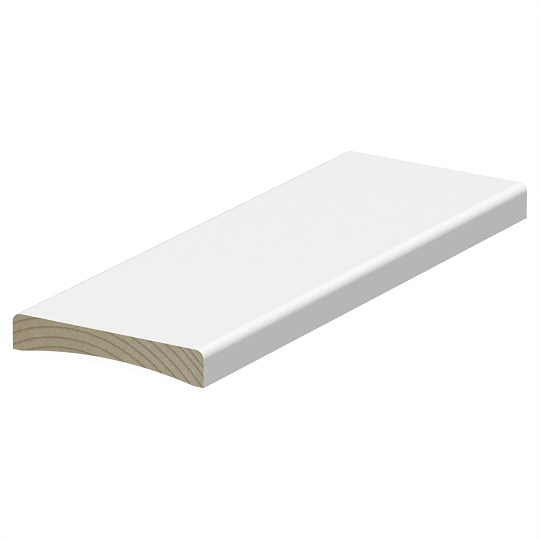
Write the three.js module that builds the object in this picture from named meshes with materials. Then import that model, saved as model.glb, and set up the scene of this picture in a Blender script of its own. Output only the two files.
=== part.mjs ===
// Door casing: a short length of flat timber moulding with two rounded front edges and a
// hollowed back. It lies on its back, face up, so it rests on the two narrow feet that the
// hollow leaves along the sides.
// Millimetres, +Z up. X runs across the width and Y along the grain. The origin is midway
// along the length, under the middle of the width, in the plane of the feet.
import * as THREE from 'three';

// Driving dimensions
const WIDTH = 70;
const THICKNESS = 12;
const LENGTH = 200;
const FRONT_EDGE_RADIUS = 3;
const FOOT_WIDTH = 3.5; // flat strip left beside the hollow, on each side of the back
const HOLLOW_DEPTH = 3.2; // of the relief in the back, at the middle of the width

// An arc of the section is cut into twice this many straight steps
const CURVE_SEGMENTS = 12;

// Finishes
const whitePaint = new THREE.MeshStandardMaterial({
  name: 'white_paint',
  color: 0xefefed,
  roughness: 0.4,
  metalness: 0,
});
const barePine = new THREE.MeshStandardMaterial({
  name: 'bare_pine',
  color: 0xd2c7ac,
  roughness: 0.75,
  metalness: 0,
});

// The moulding's section, drawn anticlockwise with x across the width and y up from the feet
function casingSection() {
  const halfWidth = WIDTH / 2;
  const edgeCentreX = halfWidth - FRONT_EDGE_RADIUS;
  const edgeCentreY = THICKNESS - FRONT_EDGE_RADIUS;

  // The hollow is one shallow arc, from foot to foot
  const hollowHalfWidth = halfWidth - FOOT_WIDTH;
  const hollowRadius = (hollowHalfWidth ** 2 + HOLLOW_DEPTH ** 2) / (2 * HOLLOW_DEPTH);
  const hollowCentreY = HOLLOW_DEPTH - hollowRadius;
  const hollowHalfAngle = Math.asin(hollowHalfWidth / hollowRadius);
  const straightUp = Math.PI / 2;

  const section = new THREE.Shape();
  section.moveTo(halfWidth, 0);
  section.lineTo(halfWidth, edgeCentreY);
  section.absarc(edgeCentreX, edgeCentreY, FRONT_EDGE_RADIUS, 0, straightUp);
  section.absarc(-edgeCentreX, edgeCentreY, FRONT_EDGE_RADIUS, straightUp, Math.PI);
  section.lineTo(-halfWidth, 0);
  section.absarc(
    0,
    hollowCentreY,
    hollowRadius,
    straightUp + hollowHalfAngle,
    straightUp - hollowHalfAngle,
    true,
  );
  return section;
}

// One solid length of moulding, cut square at both ends
function casing() {
  const geometry = new THREE.ExtrudeGeometry(casingSection(), {
    depth: LENGTH,
    curveSegments: CURVE_SEGMENTS,
    bevelEnabled: false,
  });
  // The extrusion's ends show bare wood, and its long faces are painted
  const mesh = new THREE.Mesh(geometry, [barePine, whitePaint]);
  mesh.name = 'casing';
  // Stands the section upright, with the length along Y and centred
  mesh.rotation.x = Math.PI / 2;
  mesh.position.y = LENGTH / 2;
  return mesh;
}

const doorCasing = new THREE.Group();
doorCasing.name = 'door_casing';
doorCasing.add(casing());

export default doorCasing;
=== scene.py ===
"""A door casing of white-painted pine, lying face up on a pale floor under soft studio light.

X runs across the casing's width, Y along its grain and Z out of its face. Lengths are in metres.
"""

import math
from collections import namedtuple
from functools import partial

import bpy
from mathutils import Matrix, Vector


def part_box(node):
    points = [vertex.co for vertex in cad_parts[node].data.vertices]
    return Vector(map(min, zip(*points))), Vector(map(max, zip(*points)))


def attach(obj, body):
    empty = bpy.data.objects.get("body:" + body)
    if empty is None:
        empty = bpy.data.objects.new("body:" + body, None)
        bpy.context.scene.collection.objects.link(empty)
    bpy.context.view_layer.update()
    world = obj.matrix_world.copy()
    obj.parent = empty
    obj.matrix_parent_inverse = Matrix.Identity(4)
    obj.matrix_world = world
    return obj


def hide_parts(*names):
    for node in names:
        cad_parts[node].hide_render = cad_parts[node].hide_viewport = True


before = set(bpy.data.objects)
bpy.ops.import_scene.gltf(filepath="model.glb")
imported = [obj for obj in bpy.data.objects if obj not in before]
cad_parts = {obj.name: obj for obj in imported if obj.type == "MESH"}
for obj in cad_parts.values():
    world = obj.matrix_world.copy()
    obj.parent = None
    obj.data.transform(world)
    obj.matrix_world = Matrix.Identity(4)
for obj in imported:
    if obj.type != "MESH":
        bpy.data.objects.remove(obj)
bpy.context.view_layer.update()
MM = 0.001

# Section of the casing: its width, thickness and length come from the part's solid in model.glb
EDGE_RADIUS = 3 * MM
FOOT_WIDTH = 3.5 * MM
HOLLOW_DEPTH = 3.2 * MM
EASED_RUN = 1.2 * MM  # how far back from a cut end the painted edges start to ease
FACE_DROP = 0.035 * MM  # how far the face, and then the sides, have eased away at the cut
SIDE_DROP = 0.02 * MM

# Steps in the round stretches, and a short flat strip beside each that keeps the flats' shading even
EDGE_STEPS = 32
HOLLOW_STEPS = 96
EASED_STEPS = 6
SUPPORT_STRIP = 0.4 * MM

# What tells points and faces apart
MERGE_DISTANCE = 0.001 * MM
HALF_STEP = 0.5  # lies between two neighbouring indices
END_FACING = 0.99  # how squarely an end looks along the length
FOOT_FACING = 0.99  # how squarely a foot looks down, and the back at least
BACK_FACING = 0.5
FOOT_LEVEL = 0.05 * MM  # the feet lie below this height

# The photograph's view: angles in degrees, lens and sensor in millimetres
VIEW_AZIMUTH = 31.484
VIEW_ELEVATION = 18.301
VIEW_ROLL = 0.181
VIEW_DISTANCE = 2282.3 * MM
VIEW_ASIDE = -2.20 * MM
VIEW_RAISED = 3.73 * MM
VIEW_REACH = 100.0  # how far the camera sees
LENS = 475.93
SENSOR = 36.0

# The photograph has been sharpened, on the values that a display shows
SHARPENING = 0.16
DISPLAY_GAMMA = 2.2

# Lights: each points to where it comes from, and its parts say how strongly it falls on faces that look
# along X, Y and Z. In a light of 1.0, white paint looks as bright as its own colour.
KEY_LIGHT = Vector((0.466, -0.627, 0.872))
FILL_LIGHT = Vector((-0.165, 0.23, -0.06))
UNDER_LIGHT = Vector((-0.05, 0.05, -0.55))
LIGHT_SPREAD = math.radians(12)
ROOM_LIGHT = 0.195
ROOM_SLANT = (-0.7, 0.7, 0.14)  # it is stronger from the left, from behind and a little from above
FLOOR_GLOW = 0.964
FLOOR_COLOUR = (0.04, 0.04, 0.04, 1)
FLOOR_SIZE = 12.0
FLOOR_GAP = 0.02 * MM
WHITE = (1, 1, 1, 1)

# White paint, and the sizes of what tells in its surface
PAINT_WHITE = (0.850, 0.850, 0.833, 1)
PAINT_SHADE = (0.834, 0.834, 0.817, 1)
UNEVEN_COAT = 14 * MM
RAISED_GRAIN = 1.2 * MM
SPRAY_PEEL = 0.5 * MM

# Growth rings, as the near end shows them: where the tree's heart was, and the rings' widths outwards
HEART_X = -12.7 * MM
HEART_Z = -39.5 * MM
STEM_LEAN = 0.02  # rise of the heart for each unit of length
FIRST_RING = 34.38 * MM
RING_WIDTHS = [w * MM for w in (3.1, 3.0, 3.35, 3.15, 3.3, 2.9, 2.85, 2.8, 3.05, 2.8, 2.0, 2.6, 2.4)]
RING_WAVES = [(7 * MM, 0.4 * MM), (1.2 * MM, 0.2 * MM)]  # size of each kind of lump, and its push

# Late wood: how dark and how warm it is across its width, inwards from the ring's outer side
LATE_WIDTH = 1.2 * MM
LATE_SHADES = [(0.0, 0.3), (0.1, 0.65), (0.2, 0.73), (0.35, 0.66), (0.5, 0.3), (0.72, 0.12), (1.0, 0.0)]
WARM_SHADES = [(0.0, 0.3), (0.2, 0.7), (0.5, 1.0), (0.75, 0.5), (1.0, 0.0)]
WARM_LEFT = (1.0, 0.965, 0.92)  # what is left of red, green and blue in warm wood

# Bare end grain: its colours, what rays and pores leave of them, and the sizes of its markings
END_LEFT = (0.527, 0.461, 0.332, 1)
END_RIGHT = (0.592, 0.554, 0.456, 1)
END_LATE = (0.300, 0.205, 0.110, 1)
RAY_LEFT = (0.92, 0.91, 0.88)
PORE_LEFT = (0.80, 0.77, 0.66)
RAY_WIDTH = 0.45 * MM
RAY_DRAW = 0.06  # how much a distance outwards counts in the rays, which draws them out
RAY_CONTRAST = 2.5
PORE_SIZE = 0.45 * MM
BLOTCH_SIZE = 4 * MM

# Bare planed back: its colours, the sizes of its markings, and the paint that strays onto its feet
BACK_EARLY = (0.70, 0.605, 0.44, 1)
BACK_STREAK = (0.63, 0.5233, 0.3476, 1)
BACK_LATE = (0.50, 0.37, 0.22, 1)
FIBRE_WIDTH = 0.3 * MM
PLANER_PITCH = 2.2 * MM
STRAY_REACH = 0.6 * MM
STRAY_WAVER = 1.2 * MM
STRAY_LUMP = 1.5 * MM
STRAY_FADE = 0.3 * MM

# How much a distance along the grain counts in each pattern, which draws the pattern out
ALONG_GRAIN = {"raised grain": 0.03, "rings": 0.05, "fibres": 0.012, "blotches": 0.2, "stray paint": 0.3}

# Octaves of detail in noise
SMOOTH = 1.0
CLOUDY = 2.0
FINE = 3.0

# Middle of a noise, and of the way from one colour to another
HALFWAY = 0.5

# Finishes: each surface's own roughness, gloss and relief, and how much its layers add to its tone,
# its roughness and its relief
Finish = namedtuple("Finish", "roughness gloss relief strength to_tone to_roughness to_relief")
PAINT_FINISH = Finish(
    roughness=0.48, gloss=0.2, relief=0.02 * MM, strength=0.4,
    to_tone={"cloud": 0.8, "grain": 0.5},
    to_roughness={"cloud": 0.10, "grain": 0.06},
    to_relief={"spray": 0.5, "grain": 0.7},
)
END_FINISH = Finish(
    roughness=0.78, gloss=0.25, relief=0.05 * MM, strength=0.5,
    to_tone={"pores": 2.5, "blotches": 0.8},
    to_roughness={"late": -0.12, "rays": 0.1},
    to_relief={"pores": 1.0, "late": 0.5},
)
BACK_FINISH = Finish(
    roughness=0.62, gloss=0.3, relief=0.03 * MM, strength=0.5,
    to_tone={"fibres": 2.5, "blotches": 1.2},
    to_roughness={"late": -0.1, "fibres": 0.2, "stray": -0.15},
    to_relief={"fibres": 0.8, "late": 0.4, "knife": 0.25},
)


class Field:
    """A node's output in a Python expression: arithmetic on it adds Math nodes to its tree."""

    def __init__(self, socket):
        self.socket = socket

    @staticmethod
    def pick(sockets, key):
        """The socket of that name or place among those in use on a node."""
        in_use = [s for s in sockets if s.enabled]
        return in_use[key] if isinstance(key, int) else next(s for s in in_use if s.name == key)

    @classmethod
    def node(cls, tree, kind, settings=None, sockets=None, output=0):
        """Adds a node, first its settings, then its sockets' values or links, and gives one output."""
        made = tree.nodes.new(kind)
        for name, value in (settings or {}).items():
            if name in ("stops", "steps"):
                made.color_ramp.interpolation = "LINEAR" if name == "stops" else "CONSTANT"
                cls.set_stops(made.color_ramp.elements, value)
            elif name == "choices":
                while len(made.index_switch_items) < value:
                    made.index_switch_items.new()
            else:
                setattr(made, name, value)
        for key, value in (sockets or {}).items():
            entry = cls.pick(made.inputs, key)
            if isinstance(value, Field):
                tree.links.new(value.socket, entry)
            else:
                entry.default_value = value
        return cls(cls.pick(made.outputs, output)) if made.outputs else None

    @staticmethod
    def set_stops(elements, stops):
        """Gives a ramp its stops, each a place and a grey level."""
        while len(elements) < len(stops):
            elements.new(1.0)
        for element, (place, level) in zip(elements, stops):
            element.position = place
            element.color = (level, level, level, 1)

    def out(self, name):
        """Another output of the same node."""
        return Field(self.pick(self.socket.node.outputs, name))

    def math(self, operation, *others):
        """A Math node on this value and the others."""
        values = dict(enumerate((self, *others)))
        return self.node(self.socket.id_data, "ShaderNodeMath", {"operation": operation}, values)

    def reflected(self, operation, other):
        """A Math node with this value second."""
        values = {0: other, 1: self}
        return self.node(self.socket.id_data, "ShaderNodeMath", {"operation": operation}, values)

    def within(self, low, high):
        """The value, kept between two limits."""
        return self.math("MAXIMUM", low).math("MINIMUM", high)

    def __add__(self, other):
        return self.math("ADD", other)

    def __radd__(self, other):
        return self.reflected("ADD", other)

    def __sub__(self, other):
        return self.math("SUBTRACT", other)

    def __rsub__(self, other):
        return self.reflected("SUBTRACT", other)

    def __mul__(self, other):
        return self.math("MULTIPLY", other)

    def __rmul__(self, other):
        return self.reflected("MULTIPLY", other)

    def __truediv__(self, other):
        return self.math("DIVIDE", other)

    def __rtruediv__(self, other):
        return self.reflected("DIVIDE", other)

    def __neg__(self):
        return self.math("MULTIPLY", -1.0)

    def __abs__(self):
        return self.math("ABSOLUTE")

    def __gt__(self, other):
        return self.math("GREATER_THAN", other)

    def __lt__(self, other):
        return self.math("LESS_THAN", other)


def split(add, vector):
    """The three parts of a vector."""
    parts = add("ShaderNodeSeparateXYZ", sockets={"Vector": vector})
    return parts.out("X"), parts.out("Y"), parts.out("Z")


def join(add, x, y, z=0.0):
    """A vector of three parts."""
    return add("ShaderNodeCombineXYZ", sockets={"X": x, "Y": y, "Z": z})


# Shape of the casing

def casing_tree(sizes, finishes):
    """A node tree that sweeps the casing's section along its length, with an input for each size."""
    tree = bpy.data.node_groups.new("casing_moulding", "GeometryNodeTree")
    tree.interface.new_socket("Casing", in_out="OUTPUT", socket_type="NodeSocketGeometry")
    for name in sizes:
        tree.interface.new_socket(name, in_out="INPUT", socket_type="NodeSocketFloat")
    for name in finishes:
        tree.interface.new_socket(name, in_out="INPUT", socket_type="NodeSocketMaterial")
    add = partial(Field.node, tree)
    given = add("NodeGroupInput")
    size = {name: given.out(name) for name in sizes}

    swept = add("GeometryNodeCurveToMesh", sockets={
        "Curve": sweep_path(add, size),
        "Profile Curve": section_outline(add, size),
        "Fill Caps": True,
    })
    merged = add("GeometryNodeMergeByDistance", sockets={"Geometry": swept, "Distance": MERGE_DISTANCE})
    eased = ease_cut_edges(add, merged, size)
    upright = add("GeometryNodeTransform", sockets={"Geometry": eased, "Rotation": (math.pi / 2, 0, 0)})
    finished = finish_faces(add, upright, {name: given.out(name) for name in finishes})
    add("NodeGroupOutput", sockets={"Casing": finished})
    return tree


def section_outline(add, size):
    """The section as a closed curve, x across the width and y up from the feet."""
    half = size["Width"] / 2
    top = size["Thickness"]
    hollow_half = half - size["Foot Width"]
    flat_side = top - size["Edge Radius"] - SUPPORT_STRIP
    flat_face = half - size["Edge Radius"] - SUPPORT_STRIP
    corners = [
        (half, 0.0), (half, flat_side), (half, top), (flat_face, top),
        (-flat_face, top), (-half, top), (-half, flat_side), (-half, 0.0),
        (-hollow_half, 0.0), (hollow_half, 0.0),
    ]
    right_rounding, left_rounding, hollow_start = 2, 5, 8

    index = add("GeometryNodeInputIndex")
    places = {i + 1: join(add, *corner) for i, corner in enumerate(corners)}
    place = add("GeometryNodeIndexSwitch", {"data_type": "VECTOR", "choices": len(corners)},
                {0: index, **places})
    line = add("GeometryNodeMeshLine", sockets={"Count": len(corners)})
    outline = add("GeometryNodeMeshToCurve", sockets={"Mesh": line})
    outline = add("GeometryNodeSetSplineCyclic", sockets={"Geometry": outline, "Cyclic": True})
    outline = add("GeometryNodeSetPosition", sockets={"Geometry": outline, "Position": place})

    cuts = is_at(index, hollow_start) * (HOLLOW_STEPS - 1)
    outline = add("GeometryNodeSubdivideCurve", sockets={"Curve": outline, "Cuts": cuts})
    rounded = is_at(index, right_rounding) + is_at(index, left_rounding)
    outline = add("GeometryNodeFilletCurve", {"mode": "POLY"}, {
        "Curve": outline,
        "Count": EDGE_STEPS,
        "Radius": rounded * size["Edge Radius"],
        "Limit Radius": False,
    })
    return hollow_back(add, outline, size, hollow_half)


def is_at(index, place):
    """1 at the point with that index, and 0 at the others."""
    return index.math("COMPARE", place, HALF_STEP)


def hollow_back(add, outline, size, hollow_half):
    """Lifts the outline's underside to one shallow arc from foot to foot."""
    depth = size["Hollow Depth"]
    radius = (hollow_half * hollow_half + depth * depth) / (depth * 2)
    x, y, _ = split(add, add("GeometryNodeInputPosition"))
    arc = (radius * radius - x * x).math("SQRT") - (radius - depth)
    return add("GeometryNodeSetPosition", sockets={
        "Geometry": outline, "Position": join(add, x, y.math("MAXIMUM", arc))})


def sweep_path(add, size):
    """A straight path along Z, with closer points where the cut edges are eased."""
    side_points = EASED_STEPS + 2  # the cut, the steps back from it, and one on the straight
    count = 2 * side_points
    line = add("GeometryNodeCurvePrimitiveLine")
    path = add("GeometryNodeResampleCurve", {"mode": "COUNT"}, {"Curve": line, "Count": count})
    index = add("GeometryNodeInputIndex")
    step = index.math("MINIMUM", count - 1 - index)
    side = (index > side_points - HALF_STEP) * 2 - 1
    z = side * (size["Length"] / 2 - step * size["Eased Run"] / EASED_STEPS)
    return add("GeometryNodeSetPosition", sockets={"Geometry": path, "Position": join(add, 0.0, 0.0, z)})


def ease_cut_edges(add, solid, size):
    """Lets the face and sides fall away a little towards both cuts, by drawing the end rings inwards."""
    radius = size["Edge Radius"]
    core_half = size["Width"] / 2 - radius
    core_top = size["Thickness"] - radius
    x, y, z = split(add, add("GeometryNodeInputPosition"))
    in_x = (x.within(-core_half, core_half) - x) / radius
    in_y = (y.math("MINIMUM", core_top) - y) / radius
    near = (1 - (size["Length"] / 2 - abs(z)) / size["Eased Run"]).math("MAXIMUM", 0.0)
    fall = near * near
    offset = join(add, in_x * fall * size["Side Drop"], in_y * fall * size["Face Drop"])
    return add("GeometryNodeSetPosition", sockets={"Geometry": solid, "Offset": offset})


def finish_faces(add, solid, finish):
    """Shades the ends and feet flat and the rest smooth, and gives each face its paint or bare wood."""
    _, _, height = split(add, add("GeometryNodeInputPosition"))
    _, normal_y, normal_z = split(add, add("GeometryNodeInputNormal"))
    end = abs(normal_y) > END_FACING
    foot = (height < FOOT_LEVEL) * (normal_z < -FOOT_FACING)
    back = normal_z < -BACK_FACING
    smooth = add("GeometryNodeSetShadeSmooth", {"domain": "FACE"}, {
        "Geometry": solid, "Shade Smooth": 1 - (end + foot)})
    done = add("GeometryNodeRealizeInstances", sockets={"Geometry": smooth})
    for name, faces in (("Paint", True), ("End Grain", end), ("Planed Back", back)):
        done = add("GeometryNodeSetMaterial", sockets={
            "Geometry": done, "Selection": faces, "Material": finish[name]})
    return done


def make_casing(width, length, thickness):
    """The casing as one plain mesh, swept to the size of the part's own solid."""
    sizes = {
        "Width": width,
        "Thickness": thickness,
        "Length": length,
        "Edge Radius": EDGE_RADIUS,
        "Foot Width": FOOT_WIDTH,
        "Hollow Depth": HOLLOW_DEPTH,
        "Eased Run": EASED_RUN,
        "Face Drop": FACE_DROP,
        "Side Drop": SIDE_DROP,
    }
    finishes = {
        "Paint": white_paint(),
        "End Grain": end_grain(width, length),
        "Planed Back": planed_back(width, length),
    }
    tree = casing_tree(sizes, finishes)
    casing = bpy.data.objects.new("painted_casing", bpy.data.meshes.new("painted_casing"))
    bpy.context.scene.collection.objects.link(casing)
    sweep = casing.modifiers.new("sweep", "NODES")
    sweep.node_group = tree
    identifiers = {s.name: s.identifier for s in tree.interface.items_tree if s.in_out == "INPUT"}
    for name, value in {**sizes, **finishes}.items():
        sweep[identifiers[name]] = value
    swept = casing.evaluated_get(bpy.context.evaluated_depsgraph_get())
    casing.data = bpy.data.meshes.new_from_object(swept)
    casing.modifiers.remove(sweep)
    casing.data.name = casing.name
    return casing


# Finishes

def new_material(name):
    """A material with its shader, and the call that adds nodes to it."""
    material = bpy.data.materials.new(name)
    material.use_nodes = True
    tree = material.node_tree
    return material, partial(Field.node, tree), tree.nodes["Principled BSDF"]


def feed(shader, name, field):
    """Links a field to one of a shader's sockets."""
    shader.id_data.links.new(field.socket, shader.inputs[name])


def noise(add, place, lump, detail=CLOUDY):
    """Cloudy noise around 0, mostly within a quarter either way, in lumps of about that size."""
    cloud = add("ShaderNodeTexNoise", sockets={"Vector": place, "Scale": 1 / lump, "Detail": detail})
    return cloud - HALFWAY


def drawn_out(add, place, pattern):
    """A place for a pattern that runs along the grain."""
    return times(add, place, (1, ALONG_GRAIN[pattern], 1))


def times(add, vector, factors):
    """A colour or place, with each of its three parts multiplied by its own factor."""
    return add("ShaderNodeVectorMath", {"operation": "MULTIPLY"}, {0: vector, 1: factors})


def mix(add, share, first, second):
    """A colour on the way from the first to the second."""
    return add("ShaderNodeMix", {"data_type": "RGBA"}, {"Factor": share, "A": first, "B": second})


def darken(add, share, colour, left):
    """A colour on the way to what a darker marking leaves of it."""
    return mix(add, share, colour, times(add, colour, left))


def ramp(add, at, stops, kind="stops"):
    """A level read off a ramp of stops, or one of steps."""
    return add("ShaderNodeValToRGB", {kind: stops}, {0: at})


def weigh(base, layers, weights):
    """A base value, with layers added to it by their weights."""
    for name, weight in weights.items():
        base = base + layers[name] * weight
    return base


def apply_finish(add, shader, colour, layers, finish):
    """Gives a shader its colour, and the roughness, gloss and relief of a finish with its layers."""
    relief = add("ShaderNodeBump", sockets={
        "Strength": finish.strength,
        "Distance": finish.relief,
        "Height": weigh(0.0, layers, finish.to_relief),
    })
    feed(shader, "Base Color", colour)
    feed(shader, "Roughness", weigh(finish.roughness, layers, finish.to_roughness))
    feed(shader, "Normal", relief)
    shader.inputs["Specular IOR Level"].default_value = finish.gloss


def white_paint():
    """Satin white paint, even in tone, with a fine sprayed surface and the grain telling through it."""
    material, add, shader = new_material("white_paint")
    place = add("ShaderNodeTexCoord", output="Object")
    layers = {
        "cloud": noise(add, place, UNEVEN_COAT),
        "grain": noise(add, drawn_out(add, place, "raised grain"), RAISED_GRAIN, FINE),
        "spray": noise(add, place, SPRAY_PEEL, SMOOTH),
    }
    colour = mix(add, weigh(HALFWAY, layers, PAINT_FINISH.to_tone), PAINT_WHITE, PAINT_SHADE)
    apply_finish(add, shader, colour, layers, PAINT_FINISH)
    return material


def growth(add, place, length):
    """How far out from the tree's heart each place grew, and which way round it."""
    x, y, z = split(add, place)
    out_x = x - HEART_X
    out_z = z - HEART_Z - (y + length / 2) * STEM_LEAN
    radius = (out_x * out_x + out_z * out_z).math("SQRT")
    long_place = drawn_out(add, place, "rings")
    for lump, push in RING_WAVES:
        radius = radius + noise(add, long_place, lump) * push
    return radius, out_x.math("ARCTAN2", out_z)


def late_wood(add, radius):
    """How dark, and how warm in colour, the late wood is that ends each year's ring: 0 in early wood."""
    years = len(RING_WIDTHS)
    whole = sum(RING_WIDTHS)
    widest = max(RING_WIDTHS)
    edges = [sum(RING_WIDTHS[:i]) / whole for i in range(years + 1)]
    ages = [(edge, i / years) for i, edge in enumerate(edges)]
    widths = [(edge, width / widest) for edge, width in zip(edges, RING_WIDTHS)]
    out = (radius - FIRST_RING) / whole
    year = ramp(add, out, ages) * years
    width = ramp(add, out, widths, "steps") * widest
    inwards = (1 - year.math("FRACT")) * width / LATE_WIDTH
    return ramp(add, inwards, LATE_SHADES), ramp(add, inwards, WARM_SHADES)


def end_grain(width, length):
    """Sawn pine across the grain: growth rings round the tree's heart, with rays across them."""
    material, add, shader = new_material("pine_end_grain")
    place = add("ShaderNodeTexCoord", output="Object")
    x, y, _ = split(add, place)
    radius, angle = growth(add, place, length)
    late, warm = late_wood(add, radius)
    mid_radius = FIRST_RING + sum(RING_WIDTHS) / 2
    rays = noise(add, join(add, angle * mid_radius, y, radius * RAY_DRAW), RAY_WIDTH)
    layers = {
        "late": late,
        "rays": rays,
        "pores": noise(add, place, PORE_SIZE),
        "blotches": noise(add, place, BLOTCH_SIZE),
    }

    early = mix(add, x / width + HALFWAY, END_LEFT, END_RIGHT)
    rayed = darken(add, HALFWAY + rays * RAY_CONTRAST, early, RAY_LEFT)
    speckled = darken(add, weigh(HALFWAY, layers, END_FINISH.to_tone), rayed, PORE_LEFT)
    colour = mix(add, late, darken(add, warm, speckled, WARM_LEFT), END_LATE)
    apply_finish(add, shader, colour, layers, END_FINISH)
    return material


def planed_back(width, length):
    """Planed pine along the grain: the rings drawn out to long lines, and stray paint along the feet."""
    material, add, shader = new_material("pine_planed_back")
    place = add("ShaderNodeTexCoord", output="Object")
    _, y, _ = split(add, place)
    radius, _ = growth(add, place, length)
    late, warm = late_wood(add, radius)
    stray = stray_paint(add, place, width)
    layers = {
        "late": late,
        "stray": stray,
        "fibres": noise(add, drawn_out(add, place, "fibres"), FIBRE_WIDTH, FINE),
        "blotches": noise(add, drawn_out(add, place, "blotches"), BLOTCH_SIZE),
        "knife": (y * (2 * math.pi / PLANER_PITCH)).math("SINE"),
    }

    early = mix(add, weigh(HALFWAY, layers, BACK_FINISH.to_tone), BACK_EARLY, BACK_STREAK)
    wood = mix(add, late, darken(add, warm, early, WARM_LEFT), BACK_LATE)
    apply_finish(add, shader, mix(add, stray, wood, PAINT_SHADE), layers, BACK_FINISH)
    return material


def stray_paint(add, place, width):
    """How thickly paint has strayed onto the feet: 1 beside the casing's sides, and 0 further in."""
    x, _, z = split(add, place)
    waver = noise(add, drawn_out(add, place, "stray paint"), STRAY_LUMP, FINE) * STRAY_WAVER
    reach = STRAY_REACH + waver - (width / 2 - abs(x))
    return (reach / STRAY_FADE).within(0.0, 1.0) * (z < FOOT_LEVEL)


# Stage, light and camera

def make_floor():
    """A pale floor that glows, so that the casing leaves only a faint shadow on it."""
    half = FLOOR_SIZE / 2
    mesh = bpy.data.meshes.new("floor")
    corners = [(-half, -half), (half, -half), (half, half), (-half, half)]
    mesh.from_pydata([(x, y, -FLOOR_GAP) for x, y in corners], [], [(0, 1, 2, 3)])
    mesh.materials.append(floor_material())
    floor = bpy.data.objects.new("floor", mesh)
    bpy.context.scene.collection.objects.link(floor)
    # It neither lights the casing nor keeps light from it
    floor.visible_diffuse = False
    floor.visible_glossy = False
    floor.visible_shadow = False


def floor_material():
    """Pale from above, and clear from below so that the casing's back can be looked at."""
    material, add, shader = new_material("pale_floor")
    # The glow is only there to be looked at, so no samples are spent on it as a lamp
    material.cycles.emission_sampling = "NONE"
    shader.inputs["Base Color"].default_value = FLOOR_COLOUR
    shader.inputs["Roughness"].default_value = 1.0
    shader.inputs["Specular IOR Level"].default_value = 0.0
    shader.inputs["Emission Color"].default_value = WHITE
    shader.inputs["Emission Strength"].default_value = FLOOR_GLOW
    below = add("ShaderNodeNewGeometry", output="Backfacing")
    clear = add("ShaderNodeBsdfTransparent")
    shown = add("ShaderNodeMixShader", sockets={0: below, 1: Field(shader.outputs[0]), 2: clear})
    feed(material.node_tree.nodes["Material Output"], "Surface", shown)
    return material


def make_light(name, reach):
    """A soft distant light from the side that reach points to, as strong as reach is long."""
    light = bpy.data.lights.new(name, "SUN")
    light.energy = math.pi * reach.length
    light.angle = LIGHT_SPREAD
    lamp = bpy.data.objects.new(name, light)
    lamp.rotation_euler = reach.to_track_quat("Z", "Y").to_euler()
    # The photograph's paint shows no sheen from a lamp
    lamp.visible_glossy = False
    bpy.context.scene.collection.objects.link(lamp)


def make_room():
    """Light from all round, strongest from behind on the left, in a room that looks white."""
    world = bpy.data.worlds.new("room")
    world.use_nodes = True
    tree = world.node_tree
    add = partial(Field.node, tree)
    toward = add("ShaderNodeTexCoord", output="Generated")
    slant = add("ShaderNodeVectorMath", {"operation": "DOT_PRODUCT"}, {
        0: toward, 1: ROOM_SLANT}, output="Value")
    lighting = tree.nodes["Background"]
    lighting.inputs["Color"].default_value = WHITE
    feed(lighting, "Strength", (1 + slant) * ROOM_LIGHT)
    looks = add("ShaderNodeBackground", sockets={"Color": WHITE, "Strength": 1.0})
    seen = add("ShaderNodeLightPath", output="Is Camera Ray")
    shown = add("ShaderNodeMixShader", sockets={0: seen, 1: Field(lighting.outputs[0]), 2: looks})
    feed(tree.nodes["World Output"], "Surface", shown)
    bpy.context.scene.world = world


def make_camera():
    """The photograph's camera: a long lens that looks down on the near end and the right edge."""
    azimuth, elevation, roll = (math.radians(a) for a in (VIEW_AZIMUTH, VIEW_ELEVATION, VIEW_ROLL))
    back = Vector((
        math.sin(azimuth) * math.cos(elevation),
        -math.cos(azimuth) * math.cos(elevation),
        math.sin(elevation),
    ))
    level = Vector((math.cos(azimuth), math.sin(azimuth), 0))
    rise = back.cross(level)
    right = level * math.cos(roll) + rise * math.sin(roll)
    up = rise * math.cos(roll) - level * math.sin(roll)
    data = bpy.data.cameras.new("camera")
    data.lens = LENS
    data.sensor_width = SENSOR
    data.clip_end = VIEW_REACH
    camera = bpy.data.objects.new("camera", data)
    place = back * VIEW_DISTANCE + right * VIEW_ASIDE + up * VIEW_RAISED
    camera.matrix_world = Matrix.Translation(place) @ Matrix((right, up, back)).transposed().to_4x4()
    bpy.context.scene.collection.objects.link(camera)
    bpy.context.scene.camera = camera


def sharpen_picture():
    """Sharpens the finished picture a little, on display values, as the photograph was."""
    scene = bpy.context.scene
    scene.view_settings.view_transform = "Standard"
    scene.use_nodes = True
    tree = scene.node_tree
    tree.nodes.clear()
    add = partial(Field.node, tree)
    picture = add("CompositorNodeRLayers", output="Image")
    shown = add("CompositorNodeGamma", sockets={"Image": picture, "Gamma": 1 / DISPLAY_GAMMA})
    crisp = add("CompositorNodeFilter", {"filter_type": "SHARPEN_DIAMOND"}, {
        "Fac": SHARPENING, "Image": shown})
    done = add("CompositorNodeGamma", sockets={"Image": crisp, "Gamma": DISPLAY_GAMMA})
    add("CompositorNodeComposite", sockets={"Image": done})


def main():
    """Makes the casing, its stage, the lights and the camera."""
    low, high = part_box("casing")
    casing = make_casing(*(high - low))
    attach(casing, "root")
    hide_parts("casing")
    make_floor()
    make_light("key", KEY_LIGHT)
    make_light("fill", FILL_LIGHT)
    make_light("under", UNDER_LIGHT)
    make_room()
    make_camera()
    sharpen_picture()


main()
